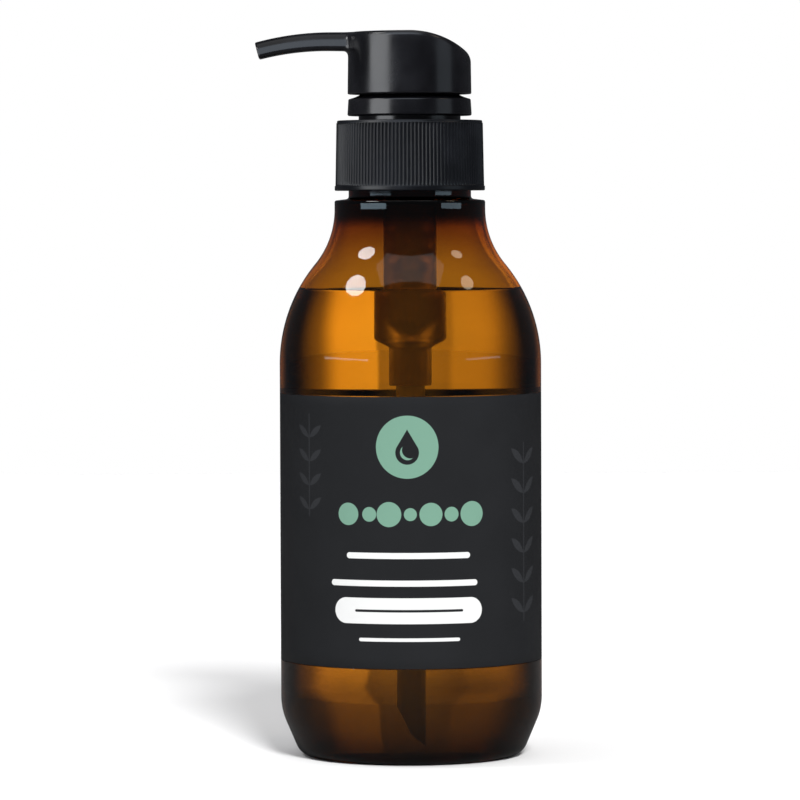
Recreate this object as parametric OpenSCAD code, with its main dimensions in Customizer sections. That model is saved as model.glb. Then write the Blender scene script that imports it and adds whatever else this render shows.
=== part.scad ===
// Amber shampoo bottle with a lock-down lotion pump.
// Millimetres. +Z is up and the origin is on the bottle's axis, at the plane it stands on.
// The spout points to -X, the label's front faces -Y, and the head is shown pressed right down.

/* [Bottle] */
// Diameter of the straight body
body_d = 62; // [50:1:76]
// Height of the label panel's lower edge
panel_z = 23; // [17:0.5:30]
// Height of the label panel
panel_h = 63.3; // [40:0.1:68]
// Height at which the shoulder starts to curve in
shoulder_z = 93; // [91:0.5:115]
// Height of the shoulder, from the body to the throat
shoulder_h = 36.6; // [28:0.2:46]
// Width of the ledge round the foot of the neck
ledge_w = 3.35; // [2.5:0.05:6]
// Height of the throat's straight band
throat_h = 2; // [0.5:0.1:5]
// Wall of the body
wall = 0.9; // [0.6:0.05:1.5]
// Thickness of the floor
floor_t = 1.2; // [0.8:0.1:2]
// Rise of the base's hollow
push_h = 3; // [1.5:0.1:5]

/* [Neck] */
// Diameter of the neck between its threads
neck_d = 29; // [24:0.1:35]
// Wall of the neck
neck_wall = 1.6; // [1.3:0.05:2.2]
// Height of the neck above the ledge
neck_h = 15; // [13:0.1:18]
// Depth of the thread
thread_t = 1.1; // [0.8:0.05:1.3]
// Pitch of the thread
pitch = 4.233; // [3.4:0.001:5]
// Turns of the thread
turns = 1.5; // [1:0.25:1.75]

/* [Label and filling] */
// Thickness of the label
label_t = 0.12; // [0.06:0.01:0.2]
// Width of the bare strip where the label's ends meet
label_seam = 2; // [1:0.5:10]
// Height of the shampoo's surface
fill_z = 109.5; // [104:0.5:125]

/* [Closure] */
// Wall of the skirt, with its ribs and its foot's band
closure_wall = 2; // [1.4:0.05:3]
// Gap between the bottle's ledge and the closure's foot
closure_gap = 2.3; // [0.5:0.1:4]
// Thickness of the top
closure_top_t = 1.35; // [1:0.05:1.8]
// Number of ribs
ribs = 120; // [60:2:150]
// Depth of a rib
rib_t = 0.3; // [0.15:0.05:0.4]

/* [Pump] */
// Travel of the head
stroke = 16.5; // [12:0.5:20]
// Bore of the cylinder
barrel_bore = 10.6; // [9:0.1:13]
// Wall of the cylinder
barrel_wall = 1; // [0.8:0.05:1.2]
// Length of the spring with the head right down
spring_pressed = 9.7; // [8:0.1:16]
// Diameter of the stem
stem_d = 7; // [6.6:0.1:7.4]
// Bore of the stem
stem_bore = 4.4; // [4:0.1:4.8]
// Diameter of the dip tube
tube_d = 5; // [4.4:0.1:5.6]
// Bore of the dip tube
tube_bore = 3.6; // [3:0.1:4]
// Gap between the dip tube and the bottle's floor
tube_gap = 1.8; // [1:0.1:6]
// Diameter of the inlet ball
ball_d = 4.8; // [4.4:0.1:5]
// Lift of the inlet ball
ball_lift = 1.2; // [0.6:0.1:1.6]
// Free play of the piston on its plug, which opens the outlet
piston_play = 1.2; // [0.6:0.1:1.5]

/* [Head] */
// Diameter of the collar's ring
collar_d = 29.5; // [26:0.1:36]
// Step from the collar's ring in to the head's skirt
head_step = 0.1; // [0:0.05:0.5]
// Height of the head, from its skirt to its top
head_h = 14.7; // [14:0.1:18]
// Wall of the head
head_wall = 1.3; // [1:0.05:1.6]
// Reach of the spout from the axis to its tip
spout_reach = 36.6; // [30:0.1:50]
// Width of the spout
spout_w = 6.6; // [5.5:0.1:8]
// Height of the spout
spout_h = 4.5; // [4.2:0.05:5.4]
// Droop of the spout at its tip, in degrees
spout_droop = 15.2; // [5:0.1:25]

/* [Clearances] */
// Gap round a piece that slides or turns in another
run_gap = 0.05; // [0.03:0.01:0.09]
// Gap between pieces that are pressed or screwed together
seat_gap = 0.02; // [0:0.01:0.05]
// Gap between the closure's thread and the neck's
thread_gap = 0.2; // [0.12:0.01:0.3]

/* [Hidden] */
$fn = 96;
e = 0.01; // how far a cut runs past the face that it opens

// Bottle
body_r = body_d / 2;
neck_r = neck_d / 2;
bore_r = neck_r - neck_wall;
throat_r = neck_r + ledge_w;
throat_z = shoulder_z + shoulder_h;
ledge_z = throat_z + throat_h;
ledge_rise = 0.4;
mouth_z = ledge_z + 0.3 + neck_h;
foot_r = body_r - 4.7;          // where the floor's plane meets the heel's slope
heel_z = 11;                    // where the heel's slope meets the body
heel_a = atan((body_r - foot_r) / heel_z);
ring_r = foot_r - 5.3;          // inner edge of the ring that the bottle stands on
panel_t = label_t + 0.03;       // the label lies flush in its panel
// The shoulder is two arcs that meet at an angle of turn, the upper one shoulder_share of the lower.
shoulder_share = 0.555;
turn = 2 * atan((body_r - throat_r) / shoulder_h);
arcs_r = shoulder_h / sin(turn);
lower_r = arcs_r / (1 + shoulder_share);
upper_r = arcs_r - lower_r;
thread_r = neck_r + thread_t;
thread_drop = 2.7;              // from the mouth down to the thread's upper end
thread_top_z = mouth_z - thread_drop;
thread_low_z = thread_top_z - turns * pitch;
thread_w = 1.9;                 // width of a thread at its root

// Pump parts that the bottle's mouth carries
gasket_t = 1;
flange_z = mouth_z + gasket_t;
flange_t = 1.2;
flange_r = neck_r - 0.1;
seat_z = flange_z + flange_t;   // top of the flange, where the collar sits
cup_gap = 1.5;
cup_r = bore_r - cup_gap;
cup_wall = 1.2;
cup_in = cup_r - cup_wall;
cup_h = 8.5;
cup_z = seat_z - cup_h;         // floor of the cup, and top of the cylinder's bore
cup_floor_t = 1.2;
cup_slope_h = 2;                // the cup narrows to the cylinder over this height
bead_t = 0.15;                  // the collar's bead, which snaps into the cup's groove
bead_z = cup_z + 2.4;
bead_h = 1;
vent_d = 1.2;                   // lets air in as the shampoo leaves
vent_z = cup_z - cup_floor_t - 4;
barrel_r = barrel_bore / 2;
barrel_out = barrel_r + barrel_wall;

// What the cylinder holds, from the top down, with the head right down
stem_r = stem_d / 2;
stop_gap = 0.3;
guide_z = cup_z + stop_gap;     // foot of the collar's guide, which stops the piston
piston_top_z = guide_z - stop_gap - stroke;
piston_h = 6;
piston_z = piston_top_z - piston_h;
piston_r = barrel_r - run_gap;
plug_r = stem_bore / 2 - run_gap;
piston_bore_r = stem_bore / 2;
cone_gap = 1.3;                 // shampoo flows past the plug's cone here
cone_r = barrel_r - cone_gap;
cone_h = 2;
cone_slope = cone_h / (cone_r - plug_r);
lip_w = 0.7;
seat_r = cone_r - lip_w;        // where the piston's mouth meets the plug's cone
seat_lap = 0.04;                // keeps the two apart at the end of the piston's play
cone_top_z = piston_z + (seat_r - plug_r) * cone_slope - piston_play - seat_lap;
plug_rim_t = 1;                 // the plug's rim, which the spring pushes on
spring_top_z = cone_top_z - cone_h - plug_rim_t;
retainer_top_z = spring_top_z - spring_pressed;
retainer_h = 4;
retainer_z = retainer_top_z - retainer_h;
inlet_h = 4;                    // height of the ball's seat with the floor under it
barrel_z = retainer_z - inlet_h; // lower end of the cylinder
wire_d = 0.7;
coils = 8;
coil_gap = 1.1;                 // room between the coils and the cylinder
coil_r = barrel_r - coil_gap - wire_d / 2;
pilot_gap = 0.3;
pilot_r = coil_r - wire_d / 2 - pilot_gap;
pilot_h = 3;
ball_r = ball_d / 2;
inlet_r = 1.4;
inlet_floor_t = 1;
inlet_z = barrel_z + inlet_floor_t; // where the ball's seat opens
ball_z = inlet_z - inlet_r + (ball_r + run_gap) * sqrt(2);
cage_z = ball_z + ball_r + ball_lift + run_gap;

// The cylinder's foot and the dip tube
tube_r = tube_d / 2;
tube_z = push_h + floor_t + tube_gap;
socket_floor_t = 0.4;
tube_top_z = barrel_z - socket_floor_t;
socket_l = 9.4;
socket_wall = 1.2;
socket_r = tube_r + socket_wall;
socket_z = barrel_z - socket_l;
barrel_cone_h = 1.4;            // the cylinder narrows to its socket over this height
well_gap = 0.3;                 // room that the shampoo leaves round the pump

// Closure
closure_z = ledge_z + closure_gap;
closure_top_z = seat_z + run_gap + closure_top_t;
closure_h = closure_top_z - closure_z;
closure_draft = 0.25;           // the ribs stand this far inside the foot's band
closure_bore_r = thread_r + thread_gap;
closure_r = closure_bore_r + closure_wall;
rib_r = closure_r - closure_draft;
band_h = 1.15;
plain_top_h = 0.6;

// Collar
collar_r = collar_d / 2;
grip_w = 2.34;                  // the flange reaches this far under the closure's top
collar_neck_r = flange_r - grip_w;
ring_gap = 1.1;
ring_z = closure_top_z + ring_gap;
ring_h = 3.9;
ring_bevel_h = 1;
ring_top_z = ring_z + ring_h + ring_bevel_h;
head_r = collar_r - head_step;
turret_gap = 1.75;              // room between the turret and the head's skirt
turret_r = head_r - head_wall - turret_gap;
turret_h = 6;
turret_z = ring_top_z + turret_h;
collar_skirt_t = 1.3;
sleeve_r = 7.1;
sleeve_gap = 0.15;
lug_t = 0.75;
lug_gap = 0.2;
lug_h = 1;
lug_a = 11;                     // half of the angle that a lug covers
slot_a = 14;                    // half of the angle of the slot that lets it pass
groove_h = 1.8;
groove_z = ring_z - 0.1;        // floor of the groove in which the lugs turn
lock_h = 3.5;                   // height of the ledge that holds the lugs down
guide_step = 0.35;
guide_r = barrel_r + guide_step; // outside of the guide, whose foot stops the piston
seal_h = 1.4;
seal_t = 1;

// Head
head_draft = 0.2;
head_top_r = head_r - head_draft;
head_gap = 0.2;
skirt_z = ring_top_z + head_gap;
head_z = skirt_z + head_h;
head_back_r = 21.5;             // arc of the head's back, which falls away behind the spout
stem_grip = 9.3;                // length of the stem inside the lock sleeve
sleeve_z = groove_z + 0.2;
stem_top_z = sleeve_z + stem_grip;
sleeve_rise = 2;
sleeve_top_z = turret_z + sleeve_rise;
sleeve_rim_w = 1.9;
sleeve_rim_t = 1.2;
nipple_r = 3.9;
nipple_h = 2.4;
boss_r = 6;
spout_drop = 0.05;              // the spout's top lies this far under the head's
spout_z = head_z - spout_drop - spout_h / 2; // the spout's middle, where it leaves the head
channel_r = 1.3;
spout_bend_x = 18.7;
spout_run = spout_reach - spout_bend_x - spout_h / 2 * sin(spout_droop);
spout_bend_r = spout_run / sin(spout_droop);

black = "#1b1c1f";
amber = "#8a4a12";
charcoal = "#35373a";
white = "#e9e9e4";
steel = "#b9bcc0";

// ---- Outlines ----

function unit(v) = v / norm(v);

// The arc about c of radius r, from angle a to angle b.
function arc(c, r, a, b, n = 12) = [for (i = [0:n]) let (t = a + (b - a) * i / n) c + r * [cos(t), sin(t)]];

// The rounded corner at b between a and c. Its radius is limited by half of the shorter side.
function corner(a, b, c, r) =
    let (u = unit(a - b), v = unit(c - b),
         half = acos(max(-1, min(1, u * v))) / 2,
         reach = min(r / tan(half), 0.499 * min(norm(a - b), norm(c - b))),
         s = reach * tan(half),
         m = b + unit(u + v) * s / sin(half),
         side = sign(u[0] * v[1] - u[1] * v[0]),
         from = atan2((b + u * reach - m)[1], (b + u * reach - m)[0]))
    arc(m, s, from, from + side * (2 * half - 180), max(3, ceil((180 - 2 * half) / 9)));

// A line through [x, y, radius] corners, whose first and last points stay sharp.
function rounded(p) = [
    for (i = [0:len(p) - 1])
        let (b = [p[i][0], p[i][1]])
        if (i == 0 || i == len(p) - 1 || len(p[i]) < 3 || p[i][2] <= 0) b
        else each corner([p[i - 1][0], p[i - 1][1]], b, [p[i + 1][0], p[i + 1][1]], p[i][2])];

function reversed(p) = [for (i = [len(p) - 1:-1:0]) p[i]];

// ---- Shared solids ----

// A ring from radius a to radius b.
module tube(a, b, h) {
    difference() {
        cylinder(r = b, h = h);
        translate([0, 0, -e]) cylinder(r = a, h = h + 2 * e);
    }
}

// A helical thread on radius r that stands out by t, or inwards if t is negative. Its ends taper away.
module thread(r, t, z, n) {
    steps = round(n * 48);
    ramp = 5;
    root = t > 0 ? -0.25 : 0.25;
    rings = [for (i = [0:steps])
        let (a = i * 360 / 48, h = z + pitch * i / 48,
             grow = min(1, min(i, steps - i) / ramp + 0.12), w = thread_w / 2, c = thread_w / 4)
        [for (q = [[root, -w], [t * grow, -c], [t * grow, c], [root, w]])
            [(r + q[0]) * cos(a), (r + q[0]) * sin(a), h + q[1]]]];
    points = [for (ring = rings) each ring];
    flip = t < 0;
    sides = [for (i = [0:steps - 1], j = [0:3])
        let (k = (j + 1) % 4, f = [i * 4 + j, i * 4 + k, i * 4 + 4 + k, i * 4 + 4 + j])
        flip ? reversed(f) : f];
    ends = [[3, 2, 1, 0], [for (j = [0:3]) steps * 4 + j]];
    polyhedron(points, concat(sides, flip ? [for (f = ends) reversed(f)] : ends));
}

// ---- Bottle ----

// The heel's corners, a wall w inside the outer surface and with the floor at height f.
function heel(w, f) = [
    [foot_r + (f * sin(heel_a) - w) / cos(heel_a), f, 4 - w],
    [body_r - w, heel_z + w * tan(heel_a / 2), 15 - w]];

// The shoulder's two arcs, a wall w inside the outer surface.
function shoulder(w) = concat(
    arc([body_r - lower_r, shoulder_z], lower_r - w, 0, turn, 20),
    arc([throat_r + upper_r, throat_z], upper_r + w, 180 + turn, 180, 20));

// The hollow of the base, w above its outer surface.
function base(w) = [[0, push_h + w], [ring_r - 6, push_h + w, 14], [ring_r + w * 0.2, w, 1.2]];

// Half of the space inside the bottle, drawn in by g, from the floor's middle up to the throat.
function inside(g) = concat(
    rounded(concat(base(floor_t + g), heel(wall + g, floor_t + g), [[body_r - wall - g, shoulder_z - 1]])),
    shoulder(wall + g));

module bottle() {
    outer = concat(
        rounded(concat(base(0), heel(0, 0), [[body_r, panel_z - 1]])),
        shoulder(0),
        rounded([[throat_r, throat_z + 0.1], [throat_r, ledge_z, 0.5], [neck_r, ledge_z + ledge_rise, 1],
                 [neck_r, mouth_z, 0.4], [bore_r, mouth_z, 0.3], [bore_r, ledge_z]]));
    inner = rounded([[throat_r - wall, throat_z + 0.1], [throat_r - wall, ledge_z - wall, 1],
                     [bore_r, ledge_z - wall + 1.2, 1], [bore_r, ledge_z]]);
    color(amber) difference() {
        union() {
            rotate_extrude() polygon(concat(outer, reversed(inner), reversed(inside(0))));
            thread(neck_r, thread_t, thread_low_z, turns);
        }
        translate([0, 0, panel_z]) tube(body_r - panel_t, body_r + 1, panel_h);
    }
}

module label() {
    color(charcoal) difference() {
        translate([0, 0, panel_z + 0.1]) tube(body_r - label_t, body_r, panel_h - 0.2);
        translate([-label_seam / 2, 0, panel_z]) cube([label_seam, body_r + 1, panel_h]);
    }
}

module shampoo() {
    color("#7a4a14", 0.6) difference() {
        intersection() {
            rotate_extrude() polygon(concat(inside(run_gap), [[0, throat_z]]));
            cylinder(r = body_r, h = fill_z);
        }
        // the well that the pump stands in
        translate([0, 0, barrel_z - barrel_cone_h - well_gap])
            cylinder(r = barrel_out + well_gap, h = fill_z);
        translate([0, 0, socket_z - well_gap]) cylinder(r = socket_r + well_gap, h = fill_z);
        cylinder(r = tube_r + well_gap, h = fill_z);
    }
}

// ---- Closure ----

module ribbed_wall() {
    step = 360 / ribs;
    linear_extrude(closure_h - band_h - plain_top_h)
        polygon([for (i = [0:ribs - 1], q = [[0, rib_t], [0.3, 0], [0.7, 0]])
            (rib_r - q[1]) * [cos((i + q[0]) * step), sin((i + q[0]) * step)]]);
}

module closure() {
    hole_r = collar_neck_r + 0.24;
    plain_r = rib_r - rib_t - 0.05;
    color(black) union() {
        difference() {
            union() {
                rotate_extrude() polygon(rounded([[0, closure_z], [closure_r, closure_z, 0.3],
                    [closure_r, closure_z + band_h, 0.3], [plain_r, closure_z + band_h],
                    [plain_r, closure_top_z, 0.5], [0, closure_top_z]]));
                translate([0, 0, closure_z + band_h]) ribbed_wall();
            }
            translate([0, 0, closure_z - e])
                cylinder(r = closure_bore_r, h = closure_h - closure_top_t + e);
            cylinder(r = hole_r, h = closure_top_z + 1);
        }
        thread(closure_bore_r, -thread_t, thread_low_z - thread_w * 0.75 - 0.15, turns);
    }
}

// ---- Parts that the mouth carries ----

module gasket() {
    color(white) translate([0, 0, mouth_z]) tube(cup_r + 0.15, flange_r, gasket_t);
}

module housing() {
    floor_z = cup_z - cup_floor_t;
    outer = rounded([[0, socket_z], [socket_r, socket_z, 0.4],
        [socket_r, barrel_z - barrel_cone_h, 0.6], [barrel_out, barrel_z, 0.8],
        [barrel_out, floor_z - cup_slope_h, 1], [cup_r, floor_z, 1], [cup_r, flange_z, 0.1],
        [flange_r, flange_z, 0.2], [flange_r, seat_z, 0.2], [0, seat_z]]);
    color(white) difference() {
        rotate_extrude() polygon(outer);
        // the cup with its snap groove, then the cylinder, the ball's seat and the tube's socket
        translate([0, 0, cup_z]) cylinder(r = cup_in, h = seat_z);
        translate([0, 0, bead_z - 0.1]) cylinder(r = cup_in + bead_t, h = bead_h + 0.2);
        translate([0, 0, retainer_z - 0.1]) cylinder(r = barrel_r, h = cup_z);
        translate([0, 0, inlet_z]) cylinder(r1 = inlet_r, r2 = inlet_r + retainer_z - inlet_z,
                                            h = retainer_z - inlet_z);
        translate([0, 0, tube_top_z - e]) cylinder(r = inlet_r, h = inlet_z - tube_top_z + 2 * e);
        translate([0, 0, socket_z - e]) cylinder(r = tube_r + seat_gap, h = tube_top_z - socket_z + e);
        translate([0, 0, vent_z]) rotate([-90, 0, 0]) cylinder(d = vent_d, h = cup_r, $fn = 24);
    }
}

module lock_collar() {
    skirt_r = cup_in - seat_gap;
    web_z = seat_z - 1.4;       // underside of the web that joins the guide to the skirt
    mouth_r = sleeve_r + 1.2;
    lug_r = sleeve_r + lug_t + lug_gap;
    groove_top_z = groove_z + groove_h;
    foot_z = cup_z + 0.5;
    inner_r = cup_in - collar_skirt_t;
    outer = rounded([[inner_r, foot_z], [skirt_r, foot_z, 0.2], [skirt_r, bead_z],
        [skirt_r + bead_t, bead_z + 0.2], [skirt_r + bead_t, bead_z + bead_h - 0.3],
        [skirt_r, bead_z + bead_h - 0.1],
        [skirt_r, seat_z], [collar_neck_r, seat_z], [collar_neck_r, ring_z], [collar_r, ring_z, 0.4],
        [collar_r - 0.24, ring_z + ring_h, 0.3], [turret_r + 1.3, ring_z + ring_h + 0.5, 0.3],
        [turret_r + 0.2, ring_top_z, 0.2], [turret_r, turret_z, 0.5],
        [mouth_r, turret_z, 0.3]]);
    bore = [[mouth_r, groove_top_z + lock_h], [sleeve_r + sleeve_gap, groove_top_z + lock_h],
        [sleeve_r + sleeve_gap, groove_top_z], [lug_r, groove_top_z], [lug_r, groove_z],
        [stem_r + 0.1, groove_z], [stem_r + 0.1, guide_z + seal_h],
        [stem_r + run_gap + seal_t, guide_z + seal_h], [stem_r + run_gap + seal_t, guide_z],
        [guide_r, guide_z], [guide_r, web_z], [inner_r, web_z]];
    color(black) difference() {
        rotate_extrude() polygon(concat(outer, bore));
        // the two slots that let the lugs rise
        for (side = [0, 180]) rotate([0, 0, side])
            intersection() {
                translate([0, 0, groove_top_z - e]) cylinder(r = lug_r, h = lock_h + 2 * e);
                translate([0, 0, groove_z]) linear_extrude(groove_h + lock_h + 1)
                    polygon([[0, 0], 12 * [cos(slot_a), -sin(slot_a)], 12 * [cos(slot_a), sin(slot_a)]]);
            }
    }
}

module wiper_seal() {
    color(white) translate([0, 0, guide_z + 0.05])
        tube(stem_r + run_gap, stem_r + run_gap + seal_t - seat_gap, seal_h - 0.1);
}

// ---- Head ----

// The head's side, seen along +Y and drawn in by w: flat over the spout, falling in an arc at the back.
function head_side(w) =
    let (far = head_r + 4, fall = acos((head_r - 1) / head_back_r))
    concat([[-far, skirt_z - 1], [-far, head_z - w]],
           arc([0, head_z - head_back_r], head_back_r - w, 90, fall, 16),
           [[far, head_z - head_back_r + (head_back_r - w) * sin(fall) - 3], [far, skirt_z - 1]]);

// The head's outer form, drawn in by w, with its rim rounded by f.
module head_form(w, f) {
    intersection() {
        rotate_extrude() polygon(rounded([[0, skirt_z], [head_r - w, skirt_z],
                                          [head_top_r - w, head_z - w, f], [0, head_z - w]]));
        translate([0, head_r + 1, 0]) rotate([90, 0, 0])
            linear_extrude(2 * head_r + 2) polygon(head_side(w));
    }
}

// Half of the spout's section is w wide and h high, with its upper edges rounder than its lower ones.
module spout_section(w, h) {
    polygon(rounded([[0, -h], [w, -h, 1.3], [w, h, 1.9], [-w, h, 1.9], [-w, -h, 1.3], [0, -h]]));
}

// The spout: its section carried along a straight and then an arc down to the tip.
module spout_form() {
    translate([-spout_bend_x, 0, spout_z]) rotate([90, 0, 90])
        linear_extrude(spout_bend_x + 1 - boss_r) spout_section(spout_w / 2, spout_h / 2);
    translate([-spout_bend_x, 0, spout_z - spout_bend_r]) rotate([90, 0, 0]) rotate([0, 0, 90])
        rotate_extrude(angle = spout_droop) translate([spout_bend_r, 0]) rotate([0, 0, -90])
            spout_section(spout_w / 2, spout_h / 2);
}

// The way through the spout, from the head's middle to the tip.
module spout_channel() {
    translate([0, 0, spout_z]) rotate([0, -90, 0]) cylinder(r = channel_r, h = spout_bend_x, $fn = 48);
    translate([-spout_bend_x, 0, spout_z - spout_bend_r]) rotate([90, 0, 0]) rotate([0, 0, 90])
        rotate_extrude(angle = spout_droop + 1)
            translate([spout_bend_r, 0]) circle(r = channel_r, $fn = 48);
}

module actuator() {
    boss_z = sleeve_top_z + sleeve_rim_t;
    color(black) difference() {
        union() {
            difference() {
                head_form(0, 0.9);
                translate([0, 0, -e]) head_form(head_wall, 0.6);
                translate([0, 0, skirt_z - 1]) cylinder(r = head_r - head_wall, h = 1 + e);
            }
            intersection() {
                translate([0, 0, boss_z]) cylinder(r = boss_r, h = head_z - boss_z);
                head_form(0.3, 0.6);
            }
            spout_form();
        }
        translate([0, 0, boss_z - 1]) cylinder(r = nipple_r + seat_gap, h = spout_z - boss_z + 1);
        spout_channel();
    }
}

module lock_sleeve() {
    color(white) difference() {
        union() {
            translate([0, 0, sleeve_z]) cylinder(r = sleeve_r, h = sleeve_top_z - sleeve_z + e);
            translate([0, 0, sleeve_top_z]) cylinder(r = sleeve_r + sleeve_rim_w, h = sleeve_rim_t);
            translate([0, 0, sleeve_top_z]) cylinder(r = nipple_r, h = sleeve_rim_t + nipple_h);
            for (side = [0, 180]) rotate([0, 0, side]) intersection() {
                translate([0, 0, sleeve_z]) cylinder(r = sleeve_r + lug_t, h = lug_h);
                translate([0, 0, sleeve_z - e]) linear_extrude(lug_h + 2 * e)
                    polygon([[0, 0], 12 * [cos(lug_a), -sin(lug_a)], 12 * [cos(lug_a), sin(lug_a)]]);
            }
        }
        translate([0, 0, sleeve_z - e]) cylinder(r = stem_r + seat_gap, h = stem_top_z - sleeve_z + e);
        cylinder(r = stem_bore / 2, h = head_z);
    }
}

module stem() {
    foot_z = piston_top_z + 0.1;
    color(white) translate([0, 0, foot_z]) tube(stem_bore / 2, stem_r, stem_top_z - foot_z);
}

// ---- Pump works ----

module piston() {
    waist = piston_r - 0.7;
    lip_h = 1.4;
    flare_h = 2;
    color(white) rotate_extrude() polygon([[seat_r, piston_z], [piston_r, piston_z],
        [piston_r, piston_z + lip_h], [waist, piston_z + flare_h], [waist, piston_top_z - flare_h],
        [piston_r, piston_top_z - lip_h], [piston_r, piston_top_z], [piston_bore_r, piston_top_z],
        [piston_bore_r, piston_z + (seat_r - piston_bore_r) * cone_slope]]);
}

module valve_plug() {
    shaft_top_z = piston_top_z + 8;
    cone_foot_z = cone_top_z - cone_h;
    color(white) difference() {
        rotate_extrude() polygon([[0, spring_top_z - pilot_h], [pilot_r - 0.5, spring_top_z - pilot_h],
            [pilot_r, spring_top_z - pilot_h + 0.5], [pilot_r, spring_top_z], [cone_r + 0.4, spring_top_z],
            [cone_r + 0.4, cone_foot_z], [cone_r, cone_foot_z], [plug_r, cone_top_z],
            [plug_r, shaft_top_z - 0.4], [plug_r - 0.4, shaft_top_z], [0, shaft_top_z]]);
        // four flutes carry the shampoo past the piston into the stem
        for (a = [45:90:315]) rotate([0, 0, a])
            translate([plug_r - 0.8, -0.5, cone_top_z - 0.3]) cube([2, 1, shaft_top_z]);
    }
}

module spring() {
    steps = 18;
    sides = 6;
    all = coils + 1.5;
    dead = 0.75;
    rise = spring_pressed - wire_d;
    dead_rise = 0.15 * wire_d;
    // the wire's height after t turns: almost flat in each end's dead turn, and an even pitch between
    function climb(t) = retainer_top_z + wire_d / 2 + (
        t < dead ? dead_rise * t / dead
        : t > all - dead ? rise - dead_rise * (all - t) / dead
        : dead_rise + (rise - 2 * dead_rise) * (t - dead) / (all - 2 * dead));
    rings = round(all * steps);
    points = [for (i = [0:rings], j = [0:sides - 1])
        let (t = i / steps, a = 360 * t, q = 360 * j / sides, r = coil_r + wire_d / 2 * cos(q))
        [r * cos(a), r * sin(a), climb(t) + wire_d / 2 * sin(q)]];
    skin = [for (i = [0:rings - 1], j = [0:sides - 1]) let (k = (j + 1) % sides)
        [i * sides + j, (i + 1) * sides + j, (i + 1) * sides + k, i * sides + k]];
    color(steel) polyhedron(points, concat(skin, [[for (j = [0:sides - 1]) j],
                                                  [for (j = [sides - 1:-1:0]) rings * sides + j]]));
}

module ball_retainer() {
    ring_in = barrel_r - run_gap - 1;
    hub_r = 1.6;                // its windows start here
    color(white) translate([0, 0, retainer_z]) difference() {
        union() {
            tube(ring_in, barrel_r - seat_gap, retainer_h);
            // four fins guide the ball, and the hub above them stops it
            for (a = [0:90:270]) rotate([0, 0, a])
                translate([ball_r + 0.3, -0.5, 0]) cube([ring_in - ball_r, 1, retainer_h]);
            translate([0, 0, cage_z - retainer_z]) difference() {
                cylinder(r = ring_in + 0.3, h = retainer_top_z - cage_z);
                for (a = [45:90:315]) rotate([0, 0, a])
                    translate([hub_r, -1.4, -e]) cube([5, 2.8, retainer_h]);
            }
        }
        translate([0, 0, -1]) tube(barrel_r - seat_gap, barrel_r + 3, retainer_h + 2);
    }
}

module inlet_ball() {
    color(steel) translate([0, 0, ball_z]) sphere(r = ball_r);
}

module dip_tube() {
    color(white) difference() {
        translate([0, 0, tube_z]) tube(tube_bore / 2, tube_r, tube_top_z - tube_z);
        // the foot is cut at a slant, so that it can't seal against the floor
        translate([tube_r, 0, tube_z]) rotate([0, 50, 0]) translate([-10, -5, -10]) cube([20, 10, 10]);
    }
}

bottle();
label();
shampoo();
closure();
gasket();
housing();
lock_collar();
wiper_seal();
actuator();
lock_sleeve();
stem();
piston();
valve_plug();
spring();
ball_retainer();
inlet_ball();
dip_tube();
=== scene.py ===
"""Looks of an amber shampoo bottle with a lock-down pump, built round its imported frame.

Lengths are millimetres while a shape is worked out, and metres once it is in a mesh. +Z is up, the
label's front faces -Y and the spout points to -X, as in the frame.
"""

import logging
import math
from dataclasses import dataclass, field
from enum import Enum
from functools import reduce
from typing import Any, Callable, Sequence

import bpy
import numpy as np
from mathutils import Euler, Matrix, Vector


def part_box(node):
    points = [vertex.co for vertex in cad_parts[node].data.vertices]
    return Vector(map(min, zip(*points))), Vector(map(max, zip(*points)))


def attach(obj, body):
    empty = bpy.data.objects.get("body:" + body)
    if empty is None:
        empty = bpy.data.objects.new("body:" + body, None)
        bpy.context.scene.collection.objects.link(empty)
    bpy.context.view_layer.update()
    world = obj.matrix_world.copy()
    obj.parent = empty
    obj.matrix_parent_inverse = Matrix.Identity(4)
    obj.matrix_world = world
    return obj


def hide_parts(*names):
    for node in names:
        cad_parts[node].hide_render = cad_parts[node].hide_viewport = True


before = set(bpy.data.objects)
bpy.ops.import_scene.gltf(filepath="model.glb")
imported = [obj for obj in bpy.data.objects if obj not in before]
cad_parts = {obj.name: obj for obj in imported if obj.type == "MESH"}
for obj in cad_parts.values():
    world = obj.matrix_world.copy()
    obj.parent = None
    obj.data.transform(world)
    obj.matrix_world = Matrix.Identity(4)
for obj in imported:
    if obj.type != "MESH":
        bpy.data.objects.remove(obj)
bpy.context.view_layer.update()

MM = 0.001
TURN = 2 * math.pi
COLUMNS = 192  # faces round a turned piece
MAP_ACROSS, MAP_UP = 200.0, 100.0  # millimetres round and up that the label's map spans
log = logging.getLogger("shampoo_bottle")

Array = np.ndarray
Colour = tuple[float, float, float]


class Slot(Enum):
    """The material slots of the record."""

    AMBER = "amber_bottle"
    LABEL = "label"
    SHAMPOO = "shampoo"
    CLOSURE = "black_closure"
    GLOSS = "black_gloss"


class Body(Enum):
    """The bodies that move, as the frame names them."""

    BOTTLE = "bottle"
    PUMP = "pump"
    CLOSURE = "closure"
    HEAD = "head"


# ---------------------------------------------------------------- outlines


def node_box(node: str) -> tuple[Array, Array]:
    """The lowest and highest corner of a frame node.

    Args:
        node: the node's name.

    Returns:
        The two corners, in millimetres.
    """
    low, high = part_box(node)
    return np.array(low) / MM, np.array(high) / MM


def unit(v: Array) -> Array:
    """A vector of length one along v."""
    return v / np.linalg.norm(v)


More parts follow.
